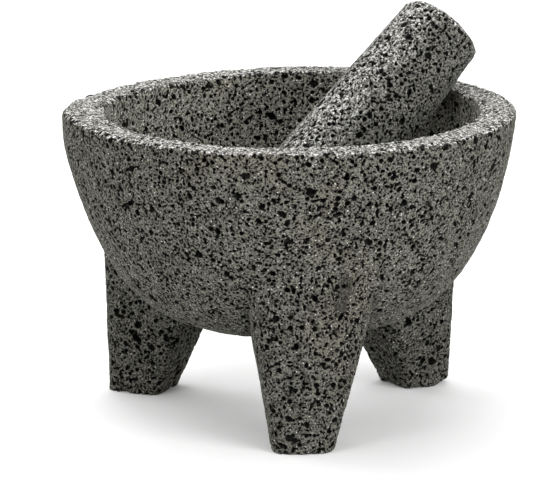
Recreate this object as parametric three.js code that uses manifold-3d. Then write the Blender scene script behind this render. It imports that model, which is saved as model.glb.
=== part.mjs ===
// Molcajete: a three-legged basalt mortar with its loose stone pestle, the tejolote.
// Millimetres, +Z up. The origin is on the ground under the middle of the bowl, and -Y is the front.
// The mortar is carved from one block, legs included, so it is one solid. The tejolote is the other.

import * as THREE from 'three';
import { mergeVertices } from 'three/addons/utils/BufferGeometryUtils.js';
import Module from 'manifold-3d';

// Driving dimensions of the bowl
const rimRadius = 102.5;
const rimHeight = 140;
const rimWidth = 16;
const rimEdgeRadius = 1.8;
const bowlBottomHeight = 40;
const bowlFloorHeight = 63;
const mouthRadius = rimRadius - rimWidth;

// Marks of hand carving: the rim dips at the back left, and the bowl's underside is off centre towards -X
const rimDip = { azimuth: 143, halfWidth: 75, depth: 2.3, fadeHeight: 45 };
const undersideShift = 1.6;

// How full each side of the bowl is: exponents of its superellipse, across and down
const outsideFullness = { across: 3.94, down: 1.52 };
const insideFullness = { across: 2.6, down: 2 };

// Driving dimensions of the legs. Azimuth turns from +X towards +Y.
// footHalfWidth and footDepth are the sole, across and along the radius.
// The three flares are how much a side or the inner face moves out for each millimetre of height.
const legTopHeight = 92;
const legCornerFullness = 4.2;
const legs = [
  {
    azimuth: -86, outerRadius: 89, footHalfWidth: 14, footDepth: 27,
    clockwiseFlare: 0.17, otherFlare: 0.3, innerFlare: 0.45,
  },
  {
    azimuth: 37, outerRadius: 86.5, footHalfWidth: 13, footDepth: 26,
    clockwiseFlare: 0.2, otherFlare: 0.18, innerFlare: 0.52,
  },
  {
    azimuth: 155, outerRadius: 90.5, footHalfWidth: 13.5, footDepth: 27,
    clockwiseFlare: 0.2, otherFlare: 0.2, innerFlare: 0.4,
  },
];

// Driving dimensions of the tejolote.
// shoulderDistance runs from the middle of its grinding ball to its grip end.
const gripRadius = 20;
const grindingRadius = 25.5;
const shoulderDistance = 115.5;
const gripEndRise = 5;
const gripEndFullness = { across: 3, down: 2 };
const tejoloteAzimuth = 36;
const restingGap = 0.3;
const taperAngle = Math.asin((grindingRadius - gripRadius) / shoulderDistance);

// Fineness of the facets
const bowlSides = 64;
const bowlSteps = 14;
const legSides = 20;
const legLevels = 6;
const tejoloteSides = 36;
const ballSteps = 7;
const gripEndSteps = 5;
const roundingSteps = 3;

const basaltGrey = 0x5d5b58;
const tejoloteGrey = 0x64625f;

const wasm = await Module();
wasm.setup();

// A closed three.js geometry as a manifold solid, with its shared corners merged.
function toSolid(geometry) {
  const bare = new THREE.BufferGeometry();
  bare.setAttribute('position', geometry.getAttribute('position'));
  bare.setIndex(geometry.getIndex());
  const merged = mergeVertices(bare, 1e-3);
  const mesh = new wasm.Mesh({
    numProp: 3,
    vertProperties: new Float32Array(merged.getAttribute('position').array),
    triVerts: new Uint32Array(merged.getIndex().array),
  });
  return new wasm.Manifold(mesh);
}

function toGeometry(solid) {
  const mesh = solid.getMesh();
  const geometry = new THREE.BufferGeometry();
  geometry.setAttribute('position', new THREE.BufferAttribute(new Float32Array(mesh.vertProperties), 3));
  geometry.setIndex(new THREE.BufferAttribute(new Uint32Array(mesh.triVerts), 1));
  geometry.computeVertexNormals();
  return geometry;
}

// A lathe about +Z of a profile of [radius, height] points, from the axis at its bottom up to the axis again.
function turned(profile, sides) {
  const points = profile.map(([radius, height]) => new THREE.Vector2(radius, height));
  const geometry = new THREE.LatheGeometry(points, sides);
  geometry.rotateX(Math.PI / 2);
  return geometry;
}

// Moves a turned shape's points to the uneven form that hand carving leaves.
function carvedByHand(geometry) {
  const positions = geometry.getAttribute('position');
  const dipAzimuth = THREE.MathUtils.degToRad(rimDip.azimuth);
  const halfWidth = THREE.MathUtils.degToRad(rimDip.halfWidth);
  const point = new THREE.Vector3();
  for (let index = 0; index < positions.count; index += 1) {
    point.fromBufferAttribute(positions, index);
    const turn = Math.abs(Math.atan2(point.y, point.x) - dipAzimuth);
    const away = Math.min(turn, 2 * Math.PI - turn) / halfWidth;
    const nearDip = Math.cos(Math.min(away, 1) * (Math.PI / 2)) ** 2;
    const nearRim = THREE.MathUtils.smoothstep(point.z, rimHeight - rimDip.fadeHeight, rimHeight);
    const belowRim = THREE.MathUtils.clamp(1 - point.z / rimHeight, 0, 1);
    point.x -= undersideShift * belowRim;
    point.z -= rimDip.depth * nearDip * nearRim;
    positions.setXYZ(index, point.x, point.y, point.z);
  }
  return geometry;
}

// Points of a quarter superellipse from its tip, on the axis, to its edge at the given radius.
function quarterSuperellipse(radius, tipHeight, edgeHeight, fullness, steps) {
  const points = [];
  for (let step = 0; step <= steps; step += 1) {
    const angle = (step / steps) * (Math.PI / 2);
    const across = Math.sin(angle) ** (2 / fullness.across);
    const along = Math.cos(angle) ** (2 / fullness.down);
    points.push([radius * across, edgeHeight + (tipHeight - edgeHeight) * along]);
  }
  return points;
}

// A quarter round from one angle to another about a centre, both ends included.
function roundedEdge(centreRadius, centreHeight, radius, fromAngle, toAngle) {
  const points = [];
  for (let step = 0; step <= roundingSteps; step += 1) {
    const angle = fromAngle + ((toAngle - fromAngle) * step) / roundingSteps;
    points.push([centreRadius + radius * Math.cos(angle), centreHeight + radius * Math.sin(angle)]);
  }
  return points;
}

// The block's outside, closed across the top, with its outer rim edge rounded.
function bowlOutside() {
  const edgeHeight = rimHeight - rimEdgeRadius;
  const side = quarterSuperellipse(rimRadius, bowlBottomHeight, edgeHeight, outsideFullness, bowlSteps);
  side.pop();
  const edge = roundedEdge(rimRadius - rimEdgeRadius, edgeHeight, rimEdgeRadius, 0, Math.PI / 2);
  return toSolid(carvedByHand(turned([...side, ...edge, [0, rimHeight]], bowlSides)));
}

// The space to carve out: the hollow, and the flare that rounds the mouth's edge.
function bowlHollow() {
  const edgeHeight = rimHeight - rimEdgeRadius;
  const side = quarterSuperellipse(mouthRadius, bowlFloorHeight, edgeHeight, insideFullness, bowlSteps);
  side.pop();
  const edge = roundedEdge(mouthRadius + rimEdgeRadius, edgeHeight, rimEdgeRadius, Math.PI, Math.PI / 2);
  const above = rimHeight + rimWidth;
  const flareTop = [mouthRadius + rimEdgeRadius, above];
  return toSolid(carvedByHand(turned([...side, ...edge, flareTop, [0, above]], bowlSides)));
}

// One level of a leg as a ring of points.
// It is a rounded block whose outer face follows a circle about the axis of the bowl.
function legRing(leg, height) {
  const innerRadius = leg.outerRadius - leg.footDepth - leg.innerFlare * height;
  const middle = (leg.outerRadius + innerRadius) / 2;
  const halfDepth = (leg.outerRadius - innerRadius) / 2;
  const azimuth = THREE.MathUtils.degToRad(leg.azimuth);
  const ring = [];
  for (let side = 0; side < legSides; side += 1) {
    const angle = (side / legSides) * 2 * Math.PI;
    const power = 2 / legCornerFullness;
    const alongSign = Math.sign(Math.cos(angle));
    const acrossSign = Math.sign(Math.sin(angle));
    const flare = acrossSign < 0 ? leg.clockwiseFlare : leg.otherFlare;
    const reach = middle + halfDepth * alongSign * Math.abs(Math.cos(angle)) ** power;
    const across = (leg.footHalfWidth + flare * height) * acrossSign * Math.abs(Math.sin(angle)) ** power;
    const along = Math.sqrt(Math.max(reach * reach - across * across, 0));
    ring.push([
      along * Math.cos(azimuth) - across * Math.sin(azimuth),
      along * Math.sin(azimuth) + across * Math.cos(azimuth),
      height,
    ]);
  }
  return ring;
}

// A leg lofted from its sole up into the bowl's wall, with both ends closed by a fan.
function legSolid(leg) {
  const positions = [];
  const triangles = [];
  for (let level = 0; level <= legLevels; level += 1) {
    positions.push(...legRing(leg, (level / legLevels) * legTopHeight));
  }
  for (let level = 0; level < legLevels; level += 1) {
    for (let side = 0; side < legSides; side += 1) {
      const next = (side + 1) % legSides;
      const lower = level * legSides;
      const upper = lower + legSides;
      triangles.push(lower + side, lower + next, upper + next);
      triangles.push(lower + side, upper + next, upper + side);
    }
  }
  const top = legLevels * legSides;
  for (let side = 1; side < legSides - 1; side += 1) {
    triangles.push(0, side + 1, side);
    triangles.push(top, top + side, top + side + 1);
  }
  const geometry = new THREE.BufferGeometry();
  geometry.setAttribute('position', new THREE.Float32BufferAttribute(positions.flat(), 3));
  geometry.setIndex(triangles);
  return toSolid(geometry);
}

function mortarMesh() {
  let block = bowlOutside();
  for (const leg of legs) {
    block = block.add(legSolid(leg));
  }
  const carved = block.subtract(bowlHollow());
  const stone = new THREE.MeshStandardMaterial({ color: basaltGrey, roughness: 0.95, metalness: 0 });
  const mesh = new THREE.Mesh(toGeometry(carved), stone);
  mesh.name = 'mortar';
  return mesh;
}

// The outline of the tejolote: its grinding ball, centred on the local origin, its side and its grip end.
function tejoloteOutline() {
  const outline = [];
  for (let step = 0; step <= ballSteps; step += 1) {
    const angle = -Math.PI / 2 + ((taperAngle + Math.PI / 2) * step) / ballSteps;
    outline.push([grindingRadius * Math.cos(angle), grindingRadius * Math.sin(angle)]);
  }
  outline[0][0] = 0;
  const shoulderRadius = (grindingRadius - shoulderDistance * Math.sin(taperAngle)) / Math.cos(taperAngle);
  const tip = shoulderDistance + gripEndRise;
  const end = quarterSuperellipse(shoulderRadius, tip, shoulderDistance, gripEndFullness, gripEndSteps);
  return [...outline, ...end.reverse()];
}

// How far the tejolote leans from upright, on the floor of the bowl and the edge of the rim.
function restingLean(ballHeight) {
  const edgeOut = mouthRadius + rimEdgeRadius;
  const edgeUp = rimHeight - rimEdgeRadius - ballHeight;
  const edgeDistance = Math.hypot(edgeOut, edgeUp);
  const sideAngle = Math.asin((grindingRadius + rimEdgeRadius + restingGap) / edgeDistance) - taperAngle;
  return Math.atan2(edgeOut, edgeUp) - sideAngle;
}

function tejoloteMesh() {
  const stone = new THREE.MeshStandardMaterial({ color: tejoloteGrey, roughness: 0.95, metalness: 0 });
  const geometry = turned(tejoloteOutline(), tejoloteSides);
  const mesh = new THREE.Mesh(geometry, stone);
  const ballHeight = bowlFloorHeight + grindingRadius + restingGap;
  mesh.rotation.order = 'ZYX';
  mesh.rotation.set(0, restingLean(ballHeight), THREE.MathUtils.degToRad(tejoloteAzimuth));
  mesh.position.set(0, 0, ballHeight);
  mesh.name = 'tejolote';
  return mesh;
}

const molcajete = new THREE.Group();
molcajete.add(mortarMesh(), tejoloteMesh());

export default molcajete;
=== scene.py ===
"""The looks of a molcajete: porous basalt for the mortar and its loose tejolote. Metres, +Z up."""
import math

import bpy
import numpy as np
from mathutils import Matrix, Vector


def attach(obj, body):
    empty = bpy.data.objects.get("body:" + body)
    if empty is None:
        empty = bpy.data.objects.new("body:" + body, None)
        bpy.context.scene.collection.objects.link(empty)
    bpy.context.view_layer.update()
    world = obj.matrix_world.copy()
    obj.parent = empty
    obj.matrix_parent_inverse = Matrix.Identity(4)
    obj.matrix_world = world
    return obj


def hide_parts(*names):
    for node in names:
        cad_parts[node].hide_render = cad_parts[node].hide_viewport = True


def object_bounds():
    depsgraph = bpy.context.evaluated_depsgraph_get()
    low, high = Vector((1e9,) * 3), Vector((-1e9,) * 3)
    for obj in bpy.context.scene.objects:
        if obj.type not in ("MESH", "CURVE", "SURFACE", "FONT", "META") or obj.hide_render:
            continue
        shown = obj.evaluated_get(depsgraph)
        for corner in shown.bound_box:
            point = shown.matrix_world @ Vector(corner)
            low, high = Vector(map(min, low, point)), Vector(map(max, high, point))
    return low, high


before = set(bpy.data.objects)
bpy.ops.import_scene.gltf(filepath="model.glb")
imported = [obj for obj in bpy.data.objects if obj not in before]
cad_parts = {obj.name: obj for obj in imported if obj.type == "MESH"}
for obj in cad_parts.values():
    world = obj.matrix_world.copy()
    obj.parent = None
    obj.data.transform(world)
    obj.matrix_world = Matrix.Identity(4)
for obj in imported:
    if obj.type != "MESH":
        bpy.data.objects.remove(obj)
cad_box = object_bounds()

import openvdb
from mathutils import Vector
from mathutils.kdtree import KDTree

MM = 0.001
SQUARE_CM = 1e-4
random = np.random.default_rng(seed=1519)

# ---------------------------------------------------------------- stone as a volume
# The stone's form is made on the coarse grid. The pores are cut on the fine one, REFINE times finer.
COARSE = 0.8 * MM
REFINE = 2
FINE = COARSE / REFINE
BAND_VOXELS = 8
MARGIN_VOXELS = 4
NOISE_SCALE = 0.6


def node_polygons(node):
    """The corners and triangles of a CAD node, which the stone's shape starts from."""
    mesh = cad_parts[node].data
    points = np.zeros(len(mesh.vertices) * 3, np.float32)
    mesh.vertices.foreach_get("co", points)
    mesh.calc_loop_triangles()
    triangles = np.zeros(len(mesh.loop_triangles) * 3, np.int32)
    mesh.loop_triangles.foreach_get("vertices", triangles)
    return points.reshape(-1, 3), triangles.reshape(-1, 3)


def distance_field(node):
    """The signed distance to a CAD node on a coarse grid, negative inside, and the grid's first corner."""
    points, triangles = node_polygons(node)
    grid = openvdb.FloatGrid.createLevelSetFromPolygons(
        points,
        triangles=triangles,
        transform=openvdb.createLinearTransform(voxelSize=COARSE),
        halfWidth=BAND_VOXELS,
    )
    low = np.floor(points.min(0) / COARSE).astype(int) - MARGIN_VOXELS
    high = np.ceil(points.max(0) / COARSE).astype(int) + MARGIN_VOXELS
    field = np.full(high - low + 1, grid.background, np.float32)
    grid.copyToArray(field, ijk=tuple(int(i) for i in low))
    return field, low


def laid_along(axis, values):
    """A row of values turned to run along one axis of a grid."""
    shape = [1, 1, 1]
    shape[axis] = len(values)
    return values.reshape(shape)


def blurred(field, width):
    """A field blurred by a Gaussian, whose width is in voxels."""
    reach = int(math.ceil(3 * width))
    offsets = np.arange(-reach, reach + 1)
    weights = np.exp(-0.5 * (offsets / width) ** 2)
    weights = (weights / weights.sum()).astype(np.float32)
    for axis in range(3):
        padded = np.pad(field, [(reach, reach) if a == axis else (0, 0) for a in range(3)], mode="edge")
        total = np.zeros_like(field)
        for offset, weight in zip(offsets, weights):
            start = reach + offset
            part = [slice(None)] * 3
            part[axis] = slice(start, start + field.shape[axis])
            total += weight * padded[tuple(part)]
        field = total
    return field


def stretched(field, axis, lower, share):
    """A field drawn out along one axis: each new layer is a mix of the layer at lower and the next."""
    share = laid_along(axis, share)
    return np.take(field, lower, axis) * (1 - share) + np.take(field, lower + 1, axis) * share


def refined(field):
    """A field on a grid REFINE times finer, with straight lines between the old values."""
    for axis in range(3):
        count = field.shape[axis]
        fine = np.arange((count - 1) * REFINE + 1)
        lower = np.minimum(fine // REFINE, count - 2)
        share = ((fine - lower * REFINE) / REFINE).astype(np.float32)
        field = stretched(field, axis, lower, share)
    return field


def cloud_noise(shape, cell):
    """Smooth noise between about -1 and 1 on a grid of this shape, whose lumps are cell voxels wide."""
    lattice = random.normal(size=[n // cell + 3 for n in shape]).astype(np.float32)
    for axis in range(3):
        at = np.arange(shape[axis]) / cell
        lower = at.astype(int)
        share = (at - lower).astype(np.float32)
        share = share * share * (3 - 2 * share)
        lattice = stretched(lattice, axis, lower, share)
    return lattice * NOISE_SCALE


def surface_of(field, low, voxel):
    """Corners, in metres, and quads of the surface where a field is zero."""
    grid = openvdb.FloatGrid(float(field.max()))
    grid.copyFromArray(field, ijk=tuple(int(i) for i in low))
    grid.transform = openvdb.createLinearTransform(voxelSize=voxel)
    points, quads = grid.convertToQuads(isovalue=0.0)
    return points, quads


def sampled(field, low, voxel, points):
    """A field's values at points, in straight lines between the grid's own."""
    at = points / voxel - low
    lower = np.clip(at.astype(int), 0, np.array(field.shape) - 2)
    share = (at - lower).astype(np.float32)
    total = np.zeros(len(points), np.float32)
    for corner in np.ndindex(2, 2, 2):
        weight = np.prod([share[:, a] if corner[a] else 1 - share[:, a] for a in range(3)], axis=0)
        index = lower + corner
        total += weight * field[index[:, 0], index[:, 1], index[:, 2]]
    return total


def normals_of(points, quads):
    """A vector out of the stone for each quad, as long as twice the quad's area, and these lengths."""
    corners = points[quads]
    normals = np.cross(corners[:, 2] - corners[:, 0], corners[:, 3] - corners[:, 1])
    return normals, np.linalg.norm(normals, axis=1)


def surface_points(points, quads, count):
    """Points spread evenly over a surface by its area, with the way out of the stone at each."""
    corners = points[quads]
    normals, lengths = normals_of(points, quads)
    picked = random.choice(len(quads), count, p=lengths / lengths.sum())
    share = random.random((count, 2, 1)).astype(np.float32)
    near = corners[picked, 0] * (1 - share[:, 0]) + corners[picked, 1] * share[:, 0]
    far = corners[picked, 3] * (1 - share[:, 0]) + corners[picked, 2] * share[:, 0]
    outward = normals[picked] / lengths[picked, None]
    return near * (1 - share[:, 1]) + far * share[:, 1], outward


def random_turns(count):
    """Random rotation matrices."""
    turn = random.normal(size=(count, 4))
    turn /= np.linalg.norm(turn, axis=1)[:, None]
    w, x, y, z = turn.T
    rows = [
        [1 - 2 * (y * y + z * z), 2 * (x * y - w * z), 2 * (x * z + w * y)],
        [2 * (x * y + w * z), 1 - 2 * (x * x + z * z), 2 * (y * z - w * x)],
        [2 * (x * z - w * y), 2 * (y * z + w * x), 1 - 2 * (x * x + y * y)],
    ]
    return np.moveaxis(np.array(rows), 2, 0).astype(np.float32)


def cut(field, voxel, centre, size, turn):
    """Cuts one ellipsoid out of a field. Its centre and half-axes are in voxels."""
    reach = int(size.max()) + 2
    start = np.maximum(centre.astype(int) - reach, 0)
    end = np.minimum(centre.astype(int) + reach + 2, field.shape)
    if (end <= start).any():
        return
    axes = [np.arange(start[a], end[a], dtype=np.float32) - centre[a] for a in range(3)]
    squares = 0
    for row in turn / size[:, None]:
        along = row[0] * axes[0][:, None, None] + row[1] * axes[1][None, :, None] + row[2] * axes[2]
        squares = squares + along * along
    inside = (1 - np.sqrt(squares)) * (size.min() * voxel)
    window = tuple(slice(s, e) for s, e in zip(start, end))
    np.maximum(field[window], inside, out=field[window])


def carve(field, low, voxel, centres, radii):
    """Cuts an ellipsoid out of the stone at each centre. radii are its three half-axes."""
    turns = random_turns(len(centres))
    for centre, size, turn in zip(centres / voxel - low, radii / voxel, turns):
        cut(field, voxel, centre, size, turn)


def shelter(field, low, voxel, reach, points):
    """How much of the space this near each point is stone: half on an open face, all down a narrow pore."""
    solid = np.clip(0.5 - field / voxel, 0, 1)
    return sampled(blurred(solid, reach / voxel), low, voxel, points)


# ---------------------------------------------------------------- scars
# Marks of the chisel and broken corners. Each is an ellipsoid struck off: its centre and its half-axes
# in millimetres.
SCARS = {
    "mortar": [
        {"what": "front foot's corner", "centre": (25, -84, 0), "size": (6, 7, 5)},
        {"what": "front leg's edge, low", "centre": (24.2, -83, 17), "size": (3.4, 7, 2.8)},
        {"what": "front leg's edge, half way", "centre": (26.4, -83, 28), "size": (3.4, 7, 2.4)},
        {"what": "front leg's edge, high", "centre": (28.8, -83, 37), "size": (3.2, 7, 3)},
        {"what": "right foot's corner", "centre": (82, 38, -3), "size": (17, 16, 6)},
        {"what": "ledge on the rim's left", "centre": (-109, 12, 143), "size": (17, 22, 5.5)},
        {"what": "rim's outer edge, back left", "centre": (-99, 34, 142.5), "size": (14, 9, 5)},
        {"what": "rim's outer edge, back", "centre": (-85, 58, 142.5), "size": (12, 9, 3.8)},
    ],
    "tejolote": [],
}
# Scars newer than the pores, so that they are smooth.
FRESH_SCARS = {
    "mortar": [
        {"what": "chisel mark over the front leg, high", "centre": (25.3, -87.7, 75.5), "size": (5, 4.2, 9)},
        {"what": "chisel mark over the front leg, low", "centre": (22.8, -88.3, 68), "size": (4.6, 4.2, 9)},
    ],
    "tejolote": [],
}
# Pores wide enough to be told apart.
PITS = {
    "mortar": [
        {"what": "pit in the front foot", "centre": (-0.7, -88.6, 7.6), "size": (1.7, 1.5, 1.6)},
        {"what": "the same pit, right", "centre": (1.7, -88.6, 6.6), "size": (1.7, 1.4, 1.3)},
        {"what": "the same pit, top", "centre": (0.9, -88.7, 8.9), "size": (1.2, 1.2, 1.1)},
    ],
    "tejolote": [],
}
# Where a stone swells out: the middle and the spread of the swelling, and how far it lifts the stone there.
SWELLINGS = {
    "mortar": [
        {"what": "rim's left side", "centre": (-118, -4, 130), "spread": 22, "lift": 3.2},
    ],
    "tejolote": [],
}


def strike_off(field, low, voxel, scars):
    """Cuts a list of scars out of a stone."""
    for scar in scars:
        centre = np.array(scar["centre"]) * MM / voxel - low
        size = np.array(scar["size"]) * MM / voxel
        cut(field, voxel, centre, size, np.eye(3))


def swell(field, low, voxel, swellings):
    """Lets a stone out where it swells."""
    for swelling in swellings:
        squares = 0
        for axis in range(3):
            along = (np.arange(field.shape[axis]) + low[axis]) * voxel / MM - swelling["centre"][axis]
            squares = squares + laid_along(axis, along.astype(np.float32) ** 2)
        field -= swelling["lift"] * MM * np.exp(-0.5 * squares / swelling["spread"] ** 2)


# ---------------------------------------------------------------- pores
# Each kind of pore: how many are started on a square centimetre, the middle of its widths, how much
# the widths vary, and how many cavities run together to make one.
PORE_KINDS = [
    {"per_cm2": 42.0, "width": 0.88 * MM, "spread": 0.12, "cavities": 1},
    {"per_cm2": 14.0, "width": 1.2 * MM, "spread": 0.14, "cavities": 1},
    {"per_cm2": 4.6, "width": 1.65 * MM, "spread": 0.16, "cavities": 1},
    {"per_cm2": 1.1, "width": 2.15 * MM, "spread": 0.14, "cavities": 1},
    {"per_cm2": 0.3, "width": 2.1 * MM, "spread": 0.18, "cavities": 2},
    {"per_cm2": 0.08, "width": 2.5 * MM, "spread": 0.2, "cavities": 3},
]
# Two pores keep apart by this share of their half widths added together.
CLEARANCE = 0.85
# As shares of a pore's half width: how deep its middle lies, how far its cavities lie apart, and how
# unlike a ball they are.
PORE_SINK = (0.1, 0.7)
CAVITIES_APART = 0.55
CAVITY_STRETCH = 0.22


def standing_clear(mouths, half):
    """Which pores to keep, so that stone is left between them. The wider of two stays."""
    tree = KDTree(len(mouths))
    for index, mouth in enumerate(mouths):
        tree.insert(mouth, index)
    tree.balance()
    kept = np.zeros(len(mouths), bool)
    widest = float(half.max())
    for index in np.argsort(-half):
        own = float(half[index])
        near = tree.find_range(mouths[index], CLEARANCE * (own + widest))
        crowded = (kept[other] and gap < CLEARANCE * (own + half[other]) for _, other, gap in near)
        kept[index] = not any(crowded)
    return kept


def add_pores(field, low, points, quads):
    """Opens pores of every kind all over the stone."""
    _, lengths = normals_of(points, quads)
    area = float(lengths.sum() / 2) / SQUARE_CM
    counts = [int(area * kind["per_cm2"]) for kind in PORE_KINDS]
    mouths, outward = surface_points(points, quads, sum(counts))
    widths = np.repeat([kind["width"] for kind in PORE_KINDS], counts)
    spreads = np.repeat([kind["spread"] for kind in PORE_KINDS], counts)
    cavities = np.repeat([kind["cavities"] for kind in PORE_KINDS], counts)
    half = 0.5 * widths * np.exp(spreads * random.normal(size=len(widths)))
    kept = standing_clear(mouths, half)
    mouths, outward, half, cavities = mouths[kept], outward[kept], half[kept], cavities[kept]
    middles = mouths - outward * (half * random.uniform(*PORE_SINK, len(half)))[:, None]
    for cavity in range(cavities.max()):
        chosen = cavities > cavity
        size = half[chosen, None]
        apart = 0.0 if cavity == 0 else CAVITIES_APART
        astray = random.normal(size=(chosen.sum(), 3)) * size * apart
        shapes = size * np.exp(CAVITY_STRETCH * random.normal(size=(chosen.sum(), 3)))
        carve(field, low, FINE, middles[chosen] + astray, shapes.astype(np.float32))


# ---------------------------------------------------------------- the mortar's regions
# Heights and forms in millimetres. A form is a superellipse turned about +Z: its radius at the rim, its
# depth under the rim, and the power of each.
RIM_TOP = 140
RIM_FOOT = 134.5
LEG_TOP = 92
HOLLOW_FORM = {"radius": 94.5, "radius_power": 2.9, "depth": 88, "depth_power": 1.75}
BOWL_FORM = {"radius": 102.5, "radius_power": 3.94, "depth": 100, "depth_power": 1.52}
# How far out of the bowl a leg's chart starts, and between which values the painted shade on a leg sets in.
# The front of the mortar has this share of the painted shade at its back.
LEG_CHART_START = 1.09
LEG_SHADE_START = 1.03
LEG_SHADE_FULL = 1.08
FRONT_LEG_SHADE = 0.45
# The hollow is ground down all over and made paler, partly for this wear and partly as painted light, apart
# from where the rim faces up by more than this.
RIM_FACING_UP = 0.5


def out_of(form, points):
    """How far out of a form points of the mortar, in millimetres, are: 1 on the form, more outside."""
    radius = np.hypot(points[:, 0], points[:, 1])
    down = np.clip(RIM_TOP - points[:, 2], 0, None)
    return (radius / form["radius"]) ** form["radius_power"] + (down / form["depth"]) ** form["depth_power"]


def in_hollow(points):
    """Which points of the mortar, in millimetres, are nearer its hollow than its outside."""
    return out_of(HOLLOW_FORM, points) < 1


def on_legs(points):
    """Which points of the mortar, in millimetres, are on its legs."""
    return (out_of(BOWL_FORM, points) > LEG_CHART_START) & (points[:, 2] < LEG_TOP)


def mortar_readings(points, facing_up):
    """What only the mortar's material reads at points, in millimetres: where it faces up, wear and painted
    light in the hollow, and painted shade on the legs.
    """
    hollow = in_hollow(points)
    rim = points[:, 2] > RIM_FOOT
    leg_shade = (out_of(BOWL_FORM, points) - LEG_SHADE_START) / (LEG_SHADE_FULL - LEG_SHADE_START)
    legs = np.clip(leg_shade, 0, 1) * (points[:, 2] < LEG_TOP)
    facing_up = facing_up * (~hollow | rim)
    return {
        # Painted shade: the legs are made darker under the bowl, the back ones most.
        "painted_leg_shade": legs * np.where(points[:, 1] > 0, 1.0, FRONT_LEG_SHADE),
        "facing_up": facing_up,
        # Wear and painted light: the hollow is made paler.
        "hollow_wear_and_painted_light": hollow & ~(rim & (facing_up > RIM_FACING_UP)),
    }


# ---------------------------------------------------------------- layout of the texture sheets
# The sheets are squares in millimetres, at the stone's own size. Every face lies on one chart of them.
# A chart is unrolled about an axis, true to size at its radius, with the start of the turn and height 0
# at this place on the sheet. Where the stone faces steeply along the axis, its chart is flat instead, and
# only the place of its middle is given.
MORTAR_SHEET = 512
TEJOLOTE_SHEET = 190
STEEP = 0.75
OUTSIDE_FRONT_CHART = {"radius": 92, "at": (3, 47)}
OUTSIDE_BACK_CHART = {"radius": 92, "at": (3, 150)}
HOLLOW_CHART = {"radius": 75, "at": (3, -57)}
LEG_CHART_RADIUS = 22
MORTAR_TOP_CHART = (108, 398)
MORTAR_UNDERSIDE_CHART = (309, 390)
TEJOLOTE_CHART = {"radius": 21, "at": (3, 3)}
TEJOLOTE_GRIP_CHART = (163, 30)
TEJOLOTE_BALL_CHART = (163, 90)
# The tejolote's axis is fitted to one face in this many.
AXIS_SAMPLING = 50
LEGS = [
    {"azimuth": math.radians(-86), "outer_radius": 89, "foot_depth": 27, "inner_flare": 0.45,
     "at": (298, 88), "lying": False},
    {"azimuth": math.radians(37), "outer_radius": 86.5, "foot_depth": 26, "inner_flare": 0.52,
     "at": (298, 191), "lying": False},
    {"azimuth": math.radians(155), "outer_radius": 90.5, "foot_depth": 27, "inner_flare": 0.4,
     "at": (408, 294), "lying": True},
]


def wrapped(angle):
    """An angle brought between minus half a turn and half a turn."""
    return (angle + math.pi) % (2 * math.pi) - math.pi


def turns_about(across, up):
    """The angle of each face's corners about an axis, without a jump inside a face."""
    middle = np.arctan2(up.mean(1), across.mean(1))
    return middle[:, None] + wrapped(np.arctan2(up, across) - middle[:, None])


def leg_turns(corners, leg):
    """The angle of each face's corners about the middle of a leg."""
    x, y, z = np.moveaxis(corners, 2, 0)
    along = x * math.cos(leg["azimuth"]) + y * math.sin(leg["azimuth"])
    across = y * math.cos(leg["azimuth"]) - x * math.sin(leg["azimuth"])
    depth = leg["foot_depth"] + leg["inner_flare"] * z
    return turns_about(along - leg["outer_radius"] + depth / 2, across)


def unrolled(chart, turn, height):
    """The faces of a chart, from their turn about its axis and their height along it."""
    return np.stack([turn * chart["radius"], height], 2) + chart["at"]


def leg_chart(corners, leg):
    """The faces of a leg unrolled about its middle, standing or lying on the sheet."""
    around = (leg_turns(corners, leg) + math.pi) * LEG_CHART_RADIUS
    height = corners[:, :, 2]
    ways = [height, around] if leg["lying"] else [around, height]
    return np.stack(ways, 2) + leg["at"]


def mortar_charts(corners, outward):
    """Where each corner of each face of the mortar lies on its sheet, as a share of it."""
    middle = corners.mean(1)
    x, y, z = np.moveaxis(corners, 2, 0)
    turn = turns_about(x, y)
    azimuth = turn.mean(1)
    sheet = unrolled(OUTSIDE_BACK_CHART, turn, z)
    front = azimuth < 0
    sheet[front] = unrolled(OUTSIDE_FRONT_CHART, turn[front] + math.pi, z[front])
    legs = on_legs(middle)
    apart = np.stack([np.abs(wrapped(azimuth - leg["azimuth"])) for leg in LEGS])
    nearest = np.argmin(apart, 0)
    for index, leg in enumerate(LEGS):
        chosen = legs & (nearest == index)
        sheet[chosen] = leg_chart(corners[chosen], leg)
    hollow = in_hollow(middle)
    sheet[hollow] = unrolled(HOLLOW_CHART, turn[hollow] + math.pi, z[hollow])
    upward = outward[:, 2] > STEEP
    sheet[upward] = corners[upward, :, :2] + MORTAR_TOP_CHART
    downward = outward[:, 2] < -STEEP
    sheet[downward] = corners[downward, :, :2] + MORTAR_UNDERSIDE_CHART
    return sheet / MORTAR_SHEET


def tejolote_charts(corners, outward):
    """Where each corner of each face of the tejolote lies on its sheet, as a share of it."""
    middle = corners.mean((0, 1))
    spread = (corners[::AXIS_SAMPLING].mean(1) - middle).astype(float)
    axis = np.linalg.svd(spread, full_matrices=False)[2][0]
    axis = axis * np.sign(axis[2])
    side = np.cross((0, 0, 1), axis)
    side /= np.linalg.norm(side)
    front = np.cross(axis, side)
    at = corners - middle
    along = at @ axis
    across, up = at @ side, at @ front
    turn = turns_about(across, up)
    sheet = unrolled(TEJOLOTE_CHART, turn + math.pi, along - along.min())
    steep = outward @ axis
    for end, place in ((1, TEJOLOTE_GRIP_CHART), (-1, TEJOLOTE_BALL_CHART)):
        chosen = steep * end > STEEP
        sheet[chosen] = np.stack([across[chosen], up[chosen]], 2) + place
    return sheet / TEJOLOTE_SHEET


CHARTS = {"mortar": mortar_charts, "tejolote": tejolote_charts}


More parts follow.
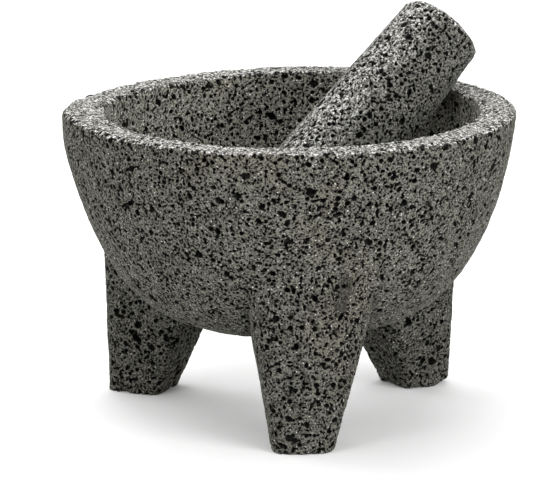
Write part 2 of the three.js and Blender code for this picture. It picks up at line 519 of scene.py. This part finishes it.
# ---------------------------------------------------------------- meshes
# A stone's faces are smoothed by some voxels, then its arrises are made crisper within their reach.
SMOOTHING_VOXELS = 0.8
ARRIS_REACH = 2.0 * MM
ARRIS_CRISPNESS = 0.6
# Lumps break off where an arris stands out by more than the start, and the more it does, up to the limit.
BREAK_START = 0.12 * MM
BREAK_LIMIT = 0.3 * MM
BREAK_STRENGTH = 3
# The lumps that break off: how wide they are, in voxels, and their share of the breaking.
BREAK_LUMPS = [(5, 1.0), (2, 0.5)]
# Unevenness of the hewn faces: how wide its lumps are, in voxels, and how high.
UNEVENNESS = [(22, 0.3 * MM), (5, 0.12 * MM), (2, 0.08 * MM)]
# How far around a point its shelter is felt, in a pore and in a corner of the form.
SHELTER_REACH = 0.6 * MM
NOOK_REACH = 5.0 * MM


def hewn(field):
    """A stone's field with crisper arrises, lumps broken off along them, and uneven faces."""
    field = blurred(field, SMOOTHING_VOXELS)
    edge = field - blurred(field, ARRIS_REACH / COARSE)
    field = field + ARRIS_CRISPNESS * edge
    lumps = sum(height * cloud_noise(field.shape, cell) for cell, height in BREAK_LUMPS)
    broken = np.clip(lumps, 0, None)
    field += np.clip(-edge - BREAK_START, 0, BREAK_LIMIT) * BREAK_STRENGTH * broken
    for cell, height in UNEVENNESS:
        field += height * cloud_noise(field.shape, cell)
    return field


def outward_at(field, low, voxel, points):
    """The way out of the stone near each point: how fast the field grows along each axis."""
    here = sampled(field, low, voxel, points)
    steps = np.eye(3, dtype=np.float32) * voxel
    ways = [sampled(field, low, voxel, points + step) - here for step in steps]
    return np.stack(ways, 1) / voxel


def stone_mesh(node):
    """The mesh of a porous stone with the form of a CAD node, what its material reads, and its charts."""
    form, form_low = distance_field(node)
    form = hewn(form)
    swell(form, form_low, COARSE, SWELLINGS[node])
    strike_off(form, form_low, COARSE, SCARS[node])
    points, quads = surface_of(form, form_low, COARSE)
    stone = refined(form)
    low = form_low * REFINE
    add_pores(stone, low, points, quads)
    strike_off(stone, low, FINE, PITS[node])
    strike_off(stone, low, FINE, FRESH_SCARS[node])
    before_fresh_scars = form.copy()
    strike_off(form, form_low, COARSE, FRESH_SCARS[node])
    points, quads = surface_of(stone, low, FINE)
    readings = {
        "pore_depth": -sampled(form, form_low, COARSE, points) / MM,
        "shelter": shelter(stone, low, FINE, SHELTER_REACH, points),
        "nook": shelter(form, form_low, COARSE, NOOK_REACH, points),
        "facing_up": outward_at(form, form_low, COARSE, points)[:, 2],
        "fresh_scar_depth": sampled(form - before_fresh_scars, form_low, COARSE, points) / MM,
    }
    if node == "mortar":
        readings.update(mortar_readings(points / MM, readings["facing_up"]))
    corners = points[quads]
    outward = outward_at(form, form_low, COARSE, corners.mean(1))
    return points, quads, readings, CHARTS[node](corners / MM, outward)


def add_mesh(name, points, quads, readings, sheet):
    """An object of quads, with its charts as OFBake and its readings as attributes."""
    mesh = bpy.data.meshes.new(name)
    mesh.vertices.add(len(points))
    mesh.vertices.foreach_set("co", points.astype(np.float32).ravel())
    mesh.loops.add(quads.size)
    mesh.loops.foreach_set("vertex_index", quads.astype(np.int32).ravel())
    mesh.polygons.add(len(quads))
    mesh.polygons.foreach_set("loop_start", np.arange(0, quads.size, 4, dtype=np.int32))
    layer = mesh.uv_layers.new(name="OFBake")
    layer.data.foreach_set("uv", sheet.astype(np.float32).ravel())
    for reading, values in readings.items():
        attribute = mesh.attributes.new(reading, "FLOAT", "POINT")
        attribute.data.foreach_set("value", values.astype(np.float32))
    mesh.update(calc_edges=True)
    mesh.validate()
    mesh.shade_smooth()
    piece = bpy.data.objects.new(name, mesh)
    bpy.context.scene.collection.objects.link(piece)
    return piece


# ---------------------------------------------------------------- basalt
# The pale colour laid on where the stone faces up: partly wear, partly painted light from above.
RUBBED_AND_LIT_COLOUR = (0.54, 0.532, 0.512, 1)
CRYSTAL_COLOUR = (0.5, 0.495, 0.475, 1)
STONE_ROUGHNESS = 0.9
STONE_SPECULAR = 0.06
# How far crystals and pinholes stand apart. As shares of that: their smallest and largest radius, where
# one below 0 leaves some of them out, and how their edges fade.
CRYSTALS_APART = 1.4 * MM
CRYSTAL_SIZES = (-0.08, 0.26)
PINHOLES_APART = 1.2 * MM
PINHOLE_SIZES = (0.03, 0.38)
PINHOLE_SHADE = 0.06
GRAIN_EDGE = (-0.03, 0.08)
# What the stone's colour is multiplied by: 1 where a reading is low, the factor where it is high, and in
# between them a number between the two.
SHADES = [
    # Painted shade on the legs under the bowl.
    {"reading": "painted_leg_shade", "low": 0.0, "high": 1.0, "factor": 0.75},
    # Wear and painted light: the hollow made paler.
    {"reading": "hollow_wear_and_painted_light", "low": 0.0, "high": 1.0, "factor": 1.95},
    # Darker in the fresh chisel marks, by how deep they cut.
    {"reading": "fresh_scar_depth", "low": 0.0, "high": 0.4, "factor": 0.5},
    # Painted shade in creases, such as where the legs meet the bowl.
    {"reading": "nook", "low": 0.55, "high": 0.68, "factor": 0.35},
    # Painted shade down in pores, by their depth and by how closed in they are.
    {"reading": "pore_depth", "low": 0.06, "high": 0.5, "factor": 0.07},
    {"reading": "shelter", "low": 0.53, "high": 0.7, "factor": 0.15},
]


class Nodes:
    """A material's node tree, with short calls to add to it."""

    def __init__(self, name):
        self.material = bpy.data.materials.new(name)
        self.material.use_nodes = True
        self.tree = self.material.node_tree
        self.shader = self.tree.nodes["Principled BSDF"]

    def add(self, kind, **values):
        """A new node, with these properties and values of its sockets."""
        node = self.tree.nodes.new(kind)
        for key, value in values.items():
            if key in node.bl_rna.properties:
                setattr(node, key, value)
            else:
                node.inputs[key].default_value = value
        return node

    def link(self, output, socket):
        self.tree.links.new(output, socket)

    def noise(self, place, scale, detail=2.0, roughness=0.5):
        node = self.add("ShaderNodeTexNoise", Scale=scale, Detail=detail, Roughness=roughness)
        self.link(place, node.inputs["Vector"])
        return node.outputs["Fac"]

    def ramp(self, value, low, high, from_value=0.0, to_value=1.0):
        """A number that goes from one value to another while its source goes from low to high."""
        node = self.add("ShaderNodeMapRange")
        node.inputs["From Min"].default_value = low
        node.inputs["From Max"].default_value = high
        node.inputs["To Min"].default_value = from_value
        node.inputs["To Max"].default_value = to_value
        self.link(value, node.inputs["Value"])
        return node.outputs["Result"]

    def reading(self, name):
        return self.add("ShaderNodeAttribute", attribute_name=name).outputs["Fac"]

    def scattered(self, place, apart, smallest, largest):
        """1 in scattered grains of many sizes, 0 between them. Sizes are radii, as shares of apart."""
        cells = self.add("ShaderNodeTexVoronoi", Scale=1 / apart)
        self.link(place, cells.inputs["Vector"])
        sizes = self.add("ShaderNodeSeparateColor")
        self.link(cells.outputs["Color"], sizes.inputs[0])
        width = self.ramp(sizes.outputs[0], low=0.0, high=1.0, from_value=smallest, to_value=largest)
        into = self.add("ShaderNodeMath", operation="SUBTRACT")
        self.link(width, into.inputs[0])
        self.link(cells.outputs["Distance"], into.inputs[1])
        return self.ramp(into.outputs[0], *GRAIN_EDGE)

    def mix(self, share, first, second, blend="MIX"):
        """Two colours mixed. Each of the three is a value or the output of another node."""
        node = self.add("ShaderNodeMix", data_type="RGBA", blend_type=blend)
        for socket, value in ((node.inputs[0], share), (node.inputs[6], first), (node.inputs[7], second)):
            if isinstance(value, bpy.types.NodeSocket):
                self.link(value, socket)
            else:
                socket.default_value = value
        return node.outputs[2]

    def product(self, first, second):
        return self.mix(1.0, first, second, "MULTIPLY")


def mottled(nodes, place, pale, dark, warm):
    """Grey that varies from dark to pale, with warmer patches some centimetres wide."""
    mottle = nodes.ramp(nodes.noise(place, scale=160, detail=4.0, roughness=0.6), low=0.35, high=0.65)
    colour = nodes.mix(mottle, (*dark, 1), (*pale, 1))
    patches = nodes.ramp(nodes.noise(place, scale=14), low=0.55, high=0.75, to_value=0.5)
    return nodes.mix(patches, colour, (*warm, 1))


def rubbed_and_lit(nodes, place, colour):
    """Pale spots where the stone faces up, as on the rim: partly wear, partly painted light from above."""
    facing_up = nodes.ramp(nodes.reading("facing_up"), low=0.5, high=0.85)
    spots = nodes.ramp(nodes.noise(place, scale=600, roughness=0.6), low=0.42, high=0.6)
    return nodes.mix(nodes.product(facing_up, spots), colour, RUBBED_AND_LIT_COLOUR)


def grained(nodes, place, colour):
    """Sharp grain finer than a millimetre, and specks of crystal."""
    noise = nodes.noise(place, scale=1300, roughness=0.6)
    grain = nodes.ramp(noise, low=0.35, high=0.65, from_value=0.15, to_value=1.9)
    colour = nodes.product(colour, grain)
    crystals = nodes.scattered(place, CRYSTALS_APART, *CRYSTAL_SIZES)
    return nodes.mix(crystals, colour, CRYSTAL_COLOUR)


def shaded(nodes, colour, pinholes):
    """The colour with painted shade in pinholes, pores and corners and on the legs, wear and painted light
    in the hollow, and darker in fresh chisel marks.
    """
    # Painted shade in the pinholes.
    in_pinhole = nodes.ramp(pinholes, low=0.0, high=1.0, from_value=1.0, to_value=PINHOLE_SHADE)
    colour = nodes.product(colour, in_pinhole)
    for shade in SHADES:
        reading = nodes.reading(shade["reading"])
        factor = nodes.ramp(reading, shade["low"], shade["high"], 1.0, shade["factor"])
        colour = nodes.product(colour, factor)
    return colour


def roughen(nodes, place, pinholes):
    """Bumps the surface with grain too fine for the mesh, and sinks its pinholes."""
    relief = nodes.add("ShaderNodeMath", operation="SUBTRACT")
    nodes.link(nodes.noise(place, scale=1100, detail=3.0, roughness=0.65), relief.inputs[0])
    nodes.link(pinholes, relief.inputs[1])
    bump = nodes.add("ShaderNodeBump", Strength=0.8, Distance=0.3 * MM)
    nodes.link(relief.outputs[0], bump.inputs["Height"])
    nodes.link(bump.outputs["Normal"], nodes.shader.inputs["Normal"])


def basalt(name, pale, dark, warm):
    """Porous basalt: mottled grey, with painted shade that makes it nearly black down in its pores, and
    paler where it is worn and where light is painted on.
    """
    nodes = Nodes(name)
    place = nodes.add("ShaderNodeTexCoord").outputs["Object"]
    pinholes = nodes.scattered(place, PINHOLES_APART, *PINHOLE_SIZES)
    colour = mottled(nodes, place, pale, dark, warm)
    colour = rubbed_and_lit(nodes, place, colour)
    colour = grained(nodes, place, colour)
    colour = shaded(nodes, colour, pinholes)
    nodes.link(colour, nodes.shader.inputs["Base Color"])
    nodes.shader.inputs["Roughness"].default_value = STONE_ROUGHNESS
    nodes.shader.inputs["Specular IOR Level"].default_value = STONE_SPECULAR
    roughen(nodes, place, pinholes)
    return nodes.material


# ---------------------------------------------------------------- the two stones
STONES = [
    {
        "node": "mortar",
        "pale": (0.106, 0.1045, 0.09),
        "dark": (0.08, 0.079, 0.067),
        "warm": (0.113, 0.098, 0.076),
    },
    {
        "node": "tejolote",
        "pale": (0.116, 0.1145, 0.103),
        "dark": (0.088, 0.087, 0.077),
        "warm": (0.12, 0.108, 0.091),
    },
]
for stone in STONES:
    node = stone["node"]
    piece = add_mesh(f"{node}_stone", *stone_mesh(node))
    piece.data.materials.append(basalt(f"porous_{node}_basalt", stone["pale"], stone["dark"], stone["warm"]))
    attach(piece, f"{node}_body")
    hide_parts(node)


# ---------------------------------------------------------------- floor, light and camera
FLOOR_SIDE = 12
FLOOR_COLOUR = (0.9, 0.9, 0.9, 1)
FLOOR_ROUGHNESS = 0.8
SOFTBOXES = [
    {"name": "top_softbox", "place": (-0.35, 0.05, 1.5), "size": 1.3, "power": 7},
    {"name": "back_softbox", "place": (0, 0.9, 1.4), "size": 1.2, "power": 12},
    {"name": "right_softbox", "place": (1.3, -1.2, 0.7), "size": 1.0, "power": 27},
    {"name": "left_softbox", "place": (-1.2, -1.3, 0.7), "size": 0.7, "power": 9},
    {"name": "back_left_softbox", "place": (-1.3, 0.9, 0.6), "size": 0.8, "power": 10},
]
# The light of the studio's walls: a strength all over, and what is added to it from the low height to
# the high one and above. Heights go from 0 at the horizon to 1 overhead.
WALL_STRENGTH = 0.6
WALL_BANDS = [
    {"low": 0.2, "high": 0.45, "added": 0.78},
    {"low": 0.65, "high": 0.85, "added": -1.38},
]
LENS_MM = 337
SENSOR_MM = 36
CAMERA_PLACE = (0.0031, -2.3263, 0.613)
# How far the camera looks down and to the left, in radians.
CAMERA_DOWN = 0.226
CAMERA_LEFT = 0.004


def add_floor():
    """A white floor under the soles."""
    bpy.ops.mesh.primitive_plane_add(size=FLOOR_SIDE, location=(0, 0, cad_box[0].z))
    floor = bpy.context.object
    floor.name = "floor"
    nodes = Nodes("white_floor")
    nodes.shader.inputs["Base Color"].default_value = FLOOR_COLOUR
    nodes.shader.inputs["Roughness"].default_value = FLOOR_ROUGHNESS
    floor.data.materials.append(nodes.material)


def add_softbox(name, place, target, size, power):
    """A square light of this many watts, facing the target."""
    light = bpy.data.lights.new(name, "AREA")
    light.shape = "SQUARE"
    light.size = size
    light.energy = power
    lamp = bpy.data.objects.new(name, light)
    lamp.location = place
    lamp.rotation_euler = (Vector(target) - Vector(place)).to_track_quat("-Z", "Y").to_euler()
    bpy.context.scene.collection.objects.link(lamp)


def add_studio():
    """White walls, brightest half way up, under a dark ceiling."""
    world = bpy.data.worlds.new("studio")
    world.use_nodes = True
    tree = world.node_tree
    direction = tree.nodes.new("ShaderNodeTexCoord")
    parts = tree.nodes.new("ShaderNodeSeparateXYZ")
    tree.links.new(direction.outputs["Generated"], parts.inputs[0])
    background = tree.nodes["Background"]
    background.inputs["Color"].default_value = (1, 1, 1, 1)
    total = background.inputs["Strength"]
    for band in WALL_BANDS:
        added = tree.nodes.new("ShaderNodeMapRange")
        added.inputs["From Min"].default_value = band["low"]
        added.inputs["From Max"].default_value = band["high"]
        added.inputs["To Max"].default_value = band["added"]
        tree.links.new(parts.outputs[2], added.inputs["Value"])
        sum_so_far = tree.nodes.new("ShaderNodeMath")
        tree.links.new(added.outputs["Result"], sum_so_far.inputs[0])
        tree.links.new(sum_so_far.outputs[0], total)
        total = sum_so_far.inputs[1]
    total.default_value = WALL_STRENGTH
    bpy.context.scene.world = world


def add_camera():
    """The photo's viewing angle: from the front and a little above, through a long lens."""
    data = bpy.data.cameras.new("camera")
    data.lens = LENS_MM
    data.sensor_width = SENSOR_MM
    camera = bpy.data.objects.new("camera", data)
    camera.location = CAMERA_PLACE
    camera.rotation_euler = (math.pi / 2 - CAMERA_DOWN, 0, CAMERA_LEFT)
    bpy.context.scene.collection.objects.link(camera)
    bpy.context.scene.camera = camera


add_floor()
middle = (cad_box[0] + cad_box[1]) / 2
for box in SOFTBOXES:
    add_softbox(box["name"], box["place"], middle, box["size"], box["power"])
add_studio()
bpy.context.scene.view_settings.view_transform = "Standard"
add_camera()
